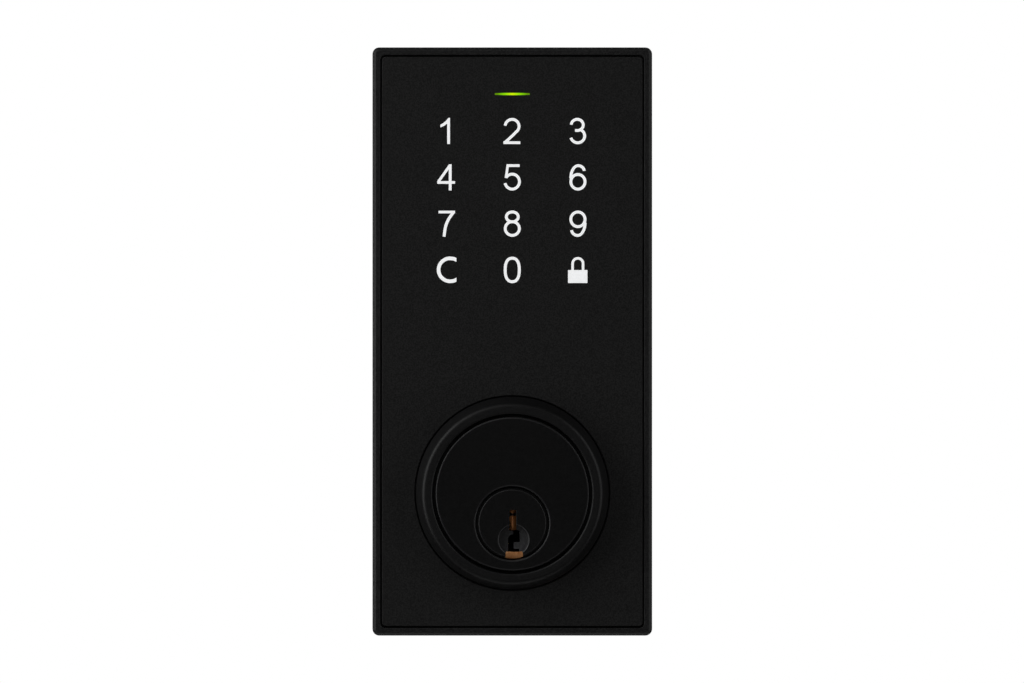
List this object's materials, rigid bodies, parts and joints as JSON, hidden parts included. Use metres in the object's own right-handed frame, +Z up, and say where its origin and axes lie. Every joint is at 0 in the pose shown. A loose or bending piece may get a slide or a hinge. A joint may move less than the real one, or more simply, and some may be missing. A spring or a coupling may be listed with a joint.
{
  "type": "keypad smart lock, outside unit",
  "caption": "Outside unit of a keypad smart lock: flush touch panel with lit numbers and status light over a collared pin-tumbler cylinder with turning plug and tailpiece.",
  "frame": {"origin": "middle of the gasket's back face, which lies against the door", "axes": "+X right as seen from outside, +Y into the door, +Z up"},
  "size_m": [0.058, 0.0836, 0.122],
  "materials": {
    "black_powder_coat": "fine matte",
    "black_panel": "fine grained matte",
    "foam_tape": "matte",
    "white_plastic": "matte",
    "light_pipe": "clear, lit green",
    "circuit_board": "solder mask",
    "light_chip": "lit",
    "black_plastic": "matte",
    "cream_plastic": "matte",
    "shield_tin": "satin",
    "plated_steel": "zinc plated",
    "black_rubber": "matte",
    "black_plated": "satin black over brass",
    "brass": "machined",
    "spring_steel": "drawn wire"
  },
  "bodies": {
    "unit": {"front_housing": "black_powder_coat", "keypad_panel": "black_panel", "panel_seal": "foam_tape", "light_mask": "white_plastic", "status_light_pipe": "light_pipe", "touch_board": "circuit_board", "key_light_1": "light_chip", "key_light_2": "light_chip", "key_light_3": "light_chip", "key_light_4": "light_chip", "key_light_5": "light_chip", "key_light_6": "light_chip", "key_light_7": "light_chip", "key_light_8": "light_chip", "key_light_9": "light_chip", "key_light_10": "light_chip", "key_light_11": "light_chip", "key_light_12": "light_chip", "status_light": "light_chip", "board_carrier": "black_plastic", "board_link": "black_plastic", "main_board": "circuit_board", "control_chip": "black_plastic", "radio_module": "shield_tin", "buzzer": "black_plastic", "cable_socket": "cream_plastic", "board_screw_1": "plated_steel", "board_screw_2": "plated_steel", "board_screw_3": "plated_steel", "board_screw_4": "plated_steel", "back_plate": "plated_steel", "back_plate_screw_1": "plated_steel", "back_plate_screw_2": "plated_steel", "back_plate_screw_3": "plated_steel", "back_plate_screw_4": "plated_steel", "upper_mounting_post": "plated_steel", "door_gasket": "black_rubber", "cylinder_collar": "black_powder_coat", "cylinder_housing": "black_plated", "pin_chamber_cover": "brass", "pin_spring_1": "spring_steel", "pin_spring_2": "spring_steel", "pin_spring_3": "spring_steel", "pin_spring_4": "spring_steel", "pin_spring_5": "spring_steel"},
    "plug": {"cylinder_plug": "black_plated", "tailpiece": "plated_steel", "tailpiece_cap": "brass"},
    "key_pin_1": {"key_pin_1": "brass"},
    "key_pin_2": {"key_pin_2": "brass"},
    "key_pin_3": {"key_pin_3": "brass"},
    "key_pin_4": {"key_pin_4": "brass"},
    "key_pin_5": {"key_pin_5": "brass"},
    "driver_pin_1": {"driver_pin_1": "brass"},
    "driver_pin_2": {"driver_pin_2": "brass"},
    "driver_pin_3": {"driver_pin_3": "brass"},
    "driver_pin_4": {"driver_pin_4": "brass"},
    "driver_pin_5": {"driver_pin_5": "brass"}
  },
  "joints": [
    {"name": "plug_turn", "type": "hinge", "parent": "unit", "child": "plug", "pos_m": [0, 0, -0.03745], "axis": [0, 1, 0], "continuous": true},
    {"name": "key_pin_1_drop", "type": "slide", "parent": "plug", "child": "key_pin_1", "axis": [0, 0, 1], "range_m": [-0.00025, 0]},
    {"name": "key_pin_2_drop", "type": "slide", "parent": "plug", "child": "key_pin_2", "axis": [0, 0, 1], "range_m": [-0.00185, 0]},
    {"name": "key_pin_3_drop", "type": "slide", "parent": "plug", "child": "key_pin_3", "axis": [0, 0, 1], "range_m": [-0.00115, 0]},
    {"name": "key_pin_4_drop", "type": "slide", "parent": "plug", "child": "key_pin_4", "axis": [0, 0, 1], "range_m": [-0.00255, 0]},
    {"name": "key_pin_5_drop", "type": "slide", "parent": "plug", "child": "key_pin_5", "axis": [0, 0, 1], "range_m": [-0.00155, 0]},
    {"name": "driver_pin_1_lift", "type": "slide", "parent": "unit", "child": "driver_pin_1", "axis": [0, 0, 1], "range_m": [0, 0.0038], "stiffness_N_per_m": 180, "springref_m": -0.003, "deforming": ["pin_spring_1"]},
    {"name": "driver_pin_2_lift", "type": "slide", "parent": "unit", "child": "driver_pin_2", "axis": [0, 0, 1], "range_m": [0, 0.0038], "stiffness_N_per_m": 180, "springref_m": -0.003, "deforming": ["pin_spring_2"]},
    {"name": "driver_pin_3_lift", "type": "slide", "parent": "unit", "child": "driver_pin_3", "axis": [0, 0, 1], "range_m": [0, 0.0038], "stiffness_N_per_m": 180, "springref_m": -0.003, "deforming": ["pin_spring_3"]},
    {"name": "driver_pin_4_lift", "type": "slide", "parent": "unit", "child": "driver_pin_4", "axis": [0, 0, 1], "range_m": [0, 0.0038], "stiffness_N_per_m": 180, "springref_m": -0.003, "deforming": ["pin_spring_4"]},
    {"name": "driver_pin_5_lift", "type": "slide", "parent": "unit", "child": "driver_pin_5", "axis": [0, 0, 1], "range_m": [0, 0.0038], "stiffness_N_per_m": 180, "springref_m": -0.003, "deforming": ["pin_spring_5"]}
  ]
}
